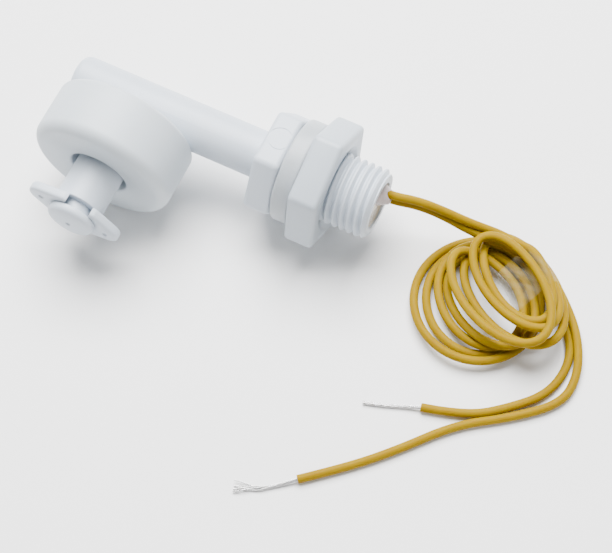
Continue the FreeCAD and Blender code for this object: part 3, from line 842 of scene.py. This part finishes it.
def make_strands(side, sizes):
    """Bare strands of a conductor: wound together on side a, splayed at the end on side b."""
    start = point(*TAIL_ROUTE[side][-1])
    line = route_line([start] + [point(*p) for p in BARE_ROUTE[side]])
    runs = [0.0]
    for before, after in zip(line, line[1:]):
        runs.append(runs[-1] + (after - before).length)
    total = runs[-1]
    data = bpy.data.curves.new(f"bare_strands_{side}", "CURVE")
    data.dimensions = "3D"
    data.bevel_depth = sizes.strand_d / 2
    data.bevel_resolution = 3
    data.use_fill_caps = True
    for k in range(sizes.strands):
        spline = data.splines.new("NURBS")
        spline.points.add(len(line) - 1)
        around = 2 * math.pi * k / (sizes.strands - 1)
        for i, spot in enumerate(line):
            ahead = (line[min(i + 1, len(line) - 1)] - line[max(i - 1, 0)]).normalized()
            across = ahead.cross(Z).normalized()
            up = across.cross(ahead)
            share = runs[i] / total
            radius = sizes.strand_d if k else 0
            turn = around + 2 * math.pi * runs[i] / sizes.strand_lay
            spread = 0.0
            if side == "b" and k:
                spread = max(0.0, share - SPLAY_FROM) ** 1.5 * SPLAY_WIDTH * MM * math.cos(around * 2.3 + 0.4)
            drop = across * (radius * math.cos(turn) + spread) + up * radius * math.sin(turn)
            spline.points[i].co = (*(spot + drop), 1)
        spline.order_u = 3
        spline.use_endpoint_u = True
        spline.resolution_u = 3
    bare = bpy.data.objects.new(data.name, data)
    bpy.context.scene.collection.objects.link(bare)
    take(bare)
    bpy.ops.object.convert(target="MESH")
    bare = bpy.context.active_object
    smooth(bare, 50)
    return finish_piece(bare, "switch_body", "tinned_copper", FINISH["tin"], f"conductor_{side}")


def tie_crossings(line, along):
    """Where a lead passes the tied side of the coil, as (outwards, height) pairs in mm, pass by pass."""
    found = []
    for before, after in zip(line, line[1:]):
        reach = [((p.xy / MM - TIE).dot(TIE_ALONG) - along) for p in (before, after)]
        if reach[0] * reach[1] <= 0 and reach[0] != reach[1]:
            spot = before.lerp(after, reach[0] / (reach[0] - reach[1]))
            out = (spot.xy / MM - TIE).dot(TIE_OUT)
            if out > TAPE_REACH:
                found.append((out, (spot.z - surface(spot.x)) / MM))
    return found


def tape_outline(lines, along, sizes):
    """Outline of the film round the passes under the top loops, at one place along them."""
    radius = sizes.lead_d / MM / 2 + TAPE_EASE
    corners = []
    for line in lines:
        for number, (out, up) in enumerate(tie_crossings(line, along)):
            if number != TOP_PASS:
                corners += [Vector((out + radius * math.cos(a), max(up + radius * math.sin(a), TAPE_LOWEST)))
                            for a in (math.radians(15 * k) for k in range(24))]
    inner = min(corners, key=lambda c: c.x)
    corners += [inner + Vector((-TAPE_SLACK, rise)) for rise in (-0.8, 0.1, 0.9)]
    hull = [corners[k] for k in convex_hull_2d(corners)]
    middle_point = sum(hull, Vector((0, 0))) / len(hull)
    outline = []
    for k in range(TAPE_SIDES):
        a = 2 * math.pi * k / TAPE_SIDES
        ray = Vector((math.cos(a), math.sin(a)))
        reach = 0
        for one, two in zip(hull, hull[1:] + hull[:1]):
            edge = two - one
            cross = ray.x * edge.y - ray.y * edge.x
            if abs(cross) > 1e-9:
                start = one - middle_point
                share = (start.x * ray.y - start.y * ray.x) / cross
                far = (start.x * edge.y - start.y * edge.x) / cross
                if -1e-6 <= share <= 1 + 1e-6 and far > reach:
                    reach = far
        crease = 0.07 * math.sin(7 * a + 0.9 * along) + 0.05 * math.sin(13 * a - 1.7 * along)
        place = middle_point + ray * (reach + crease)
        spot = TIE + TIE_OUT * place.x + TIE_ALONG * along
        outline.append(point(spot.x, spot.y, max(place.y, TAPE_LOWEST)))
    return outline


def make_tape(sizes, lines):
    """Clear film wound round the tied side of the coil, under its top loops."""
    rings = []
    for step in range(TAPE_STEPS + 1):
        along = TAPE_START + sizes.tape_width / MM * step / TAPE_STEPS
        rings.append(drawn_line("coil_tape_film", tape_outline(lines, along, sizes), closed=True))
    film = rings[0]
    take(film)
    for ring in rings[1:]:
        ring.select_set(True)
    bpy.ops.object.join()
    edit(film)
    bpy.ops.mesh.bridge_edge_loops()
    bpy.ops.object.mode_set(mode="OBJECT")
    mend(film)
    modify(film, "SUBSURF", levels=1, render_levels=1)
    modify(film, "SOLIDIFY", thickness=sizes.tape_thickness, offset=0)
    smooth(film, 60)
    return finish_piece(film, "switch_body", "tape", FINISH["tape"], "coil_tape")


class BuildPotting(bpy.types.Operator):
    """Models the resin's surface in the bush's mouth, drawn up round the leads"""
    bl_idname = "levelswitch.potting"
    bl_label = "Potting"

    def execute(self, context):
        sizes = context.scene.switch_body
        leads = context.scene.switch_leads
        r = sizes.bush_bore_d / 2 - 0.02 * MM
        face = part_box("potting_resin")[1][0] + 0.02 * MM
        level = BUSH_END_X - leads.resin_below
        pool = turned("resin_pool", [
            (face, 0), (face, r), (level + 0.3 * MM, r), (level + 0.2 * MM, r - 0.15 * MM),
            (level + 0.03 * MM, r - 0.5 * MM), (level - 0.03 * MM, r - 1.2 * MM), (level, 0),
        ], Vector(), X)
        middle_y = sum(y for y, z in LEAD_START.values()) / 2 * MM
        middle_z = sum(z for y, z in LEAD_START.values()) / 2 * MM
        mound = turned("lead_glue", [
            (-0.4 * MM, 0), (-0.4 * MM, 2.3 * MM), (0.05 * MM, 2.35 * MM), (0.5 * MM, 2.1 * MM),
            (1.0 * MM, 1.8 * MM), (1.6 * MM, 1.55 * MM), (2.1 * MM, 1.3 * MM), (2.35 * MM, 0.9 * MM),
            (2.4 * MM, 0),
        ], Vector((level, middle_y, middle_z)), X, sides=48)
        for piece in (pool, mound):
            for side in ("a", "b"):
                y, z = LEAD_START[side]
                start = Vector((face - 1 * MM, y * MM, z * MM))
                hole = rod("lead_hole", leads.lead_d + 0.02 * MM, start, start + X * 9 * MM, sides=32)
                combine(piece, hole, "DIFFERENCE")
            mend(piece)
            smooth(piece, 40)
        finish_piece(pool, "switch_body", "resin", FINISH["resin"])
        finish_piece(mound, "switch_body", "resin", FINISH["glue"])
        return {"FINISHED"}


class DressFrameNodes(bpy.types.Operator):
    """Gives the inner parts, which keep their CAD shapes, their finishes"""
    bl_idname = "levelswitch.inner"
    bl_label = "Inner parts"

    def execute(self, context):
        finish_of = {
            "ring_magnet": "ferrite", "reed_glass": "glass", "reed_blade_upper": "reed_metal",
            "reed_blade_lower": "reed_metal", "solder_joint_upper": "solder", "solder_joint_lower": "solder",
            "joint_sleeve_upper": "sleeve", "joint_sleeve_lower": "sleeve", "potting_resin": "resin",
            "inner_wire_a": "insulation", "inner_wire_b": "insulation",
        }
        for node, finish in finish_of.items():
            node_object = NODES[node]
            if node_object.material_slots:
                for slot in node_object.material_slots:
                    slot.material = FINISH[finish]
            else:
                node_object.data.materials.append(FINISH[finish])
        return {"FINISHED"}


# Camera fitted to the photograph: its place in metres and its turns in degrees
CAMERA_PLACE = (0.07126, -0.13073, 0.287)
CAMERA_TURNS = (23.754, 0.8027, 26.0333)
LIGHTS_AIM = (0.01, -0.015, 0)


def softbox(name, power, size, place):
    """A soft square light, turned towards the switch."""
    light = bpy.data.lights.new(name, "AREA")
    light.energy = power
    light.size = size
    lamp = bpy.data.objects.new(name, light)
    lamp.location = place
    lamp.rotation_euler = (Vector(place) - Vector(LIGHTS_AIM)).to_track_quat("Z", "Y").to_euler()
    bpy.context.scene.collection.objects.link(lamp)


class BuildStage(bpy.types.Operator):
    """Sets the plain floor, the soft light and the camera"""
    bl_idname = "levelswitch.stage"
    bl_label = "Stage"

    def execute(self, context):
        stage = context.scene.switch_stage
        tilt = -math.atan(SURFACE_SLOPE)
        deselect()
        bpy.ops.mesh.primitive_plane_add(size=stage.floor_size, location=(0, 0, surface(0)),
                                         rotation=(0, tilt, 0))
        floor = context.active_object
        floor.name = "floor"
        material = bpy.data.materials.new("Plain floor")
        material.use_nodes = True
        shader_of(material).inputs["Base Color"].default_value = (*context.scene.switch_finish.floor, 1)
        shader_of(material).inputs["Roughness"].default_value = 0.9
        floor.data.materials.append(material)

        softbox("key light", stage.key_power, 0.5, (-0.15, 0.25, 0.55))
        softbox("fill light", stage.fill_power, 0.4, (0.45, -0.35, 0.35))
        world = bpy.data.worlds.new("Surround")
        world.use_nodes = True
        world.node_tree.nodes["Background"].inputs["Color"].default_value = (1, 1, 1, 1)
        world.node_tree.nodes["Background"].inputs["Strength"].default_value = stage.sky
        context.scene.world = world
        data = bpy.data.cameras.new("camera")
        data.lens = stage.lens
        data.sensor_width = 36
        data.clip_start = 0.01
        camera = bpy.data.objects.new("camera", data)
        camera.location = CAMERA_PLACE
        camera.rotation_euler = Euler([math.radians(a) for a in CAMERA_TURNS])
        context.scene.collection.objects.link(camera)
        context.scene.camera = camera
        return {"FINISHED"}


# Panel and registration

OPERATORS = (BuildStage, BuildLeads, BuildSwitchBody, BuildFloat, BuildClip, BuildSeal, BuildPotting,
             DressFrameNodes)
GROUPS = {
    "switch_body": SwitchBodySizes, "switch_float": FloatSizes, "switch_clip": ClipSizes,
    "switch_seal": SealSizes, "switch_leads": LeadSizes, "switch_finish": FinishColours,
    "switch_stage": StageSizes,
}
FINISH = {}


class SwitchPanel(bpy.types.Panel):
    """Lists the pieces of the level switch with their sizes"""
    bl_idname = "VIEW3D_PT_levelswitch"
    bl_label = "Level switch"
    bl_space_type = "VIEW_3D"
    bl_region_type = "UI"
    bl_category = "Level switch"

    def draw(self, context):
        for operator in OPERATORS:
            self.layout.operator(operator.bl_idname, text=operator.bl_label)
        for group in GROUPS:
            box = self.layout.box()
            sizes = getattr(context.scene, group)
            for key in sizes.bl_rna.properties.keys():
                if key not in ("rna_type", "name"):
                    box.prop(sizes, key)


def register():
    for group in GROUPS.values():
        bpy.utils.register_class(group)
    for name, group in GROUPS.items():
        setattr(bpy.types.Scene, name, PointerProperty(type=group))
    for operator in OPERATORS:
        bpy.utils.register_class(operator)
    bpy.utils.register_class(SwitchPanel)


def unregister():
    bpy.utils.unregister_class(SwitchPanel)
    for operator in reversed(OPERATORS):
        bpy.utils.unregister_class(operator)
    for name in GROUPS:
        delattr(bpy.types.Scene, name)
    for group in GROUPS.values():
        bpy.utils.unregister_class(group)


def main():
    register()
    FINISH.update(make_finishes(bpy.context.scene.switch_finish))
    for operator in OPERATORS:
        group, name = operator.bl_idname.split(".")
        getattr(getattr(bpy.ops, group), name)()


if __name__ == "__main__":
    main()
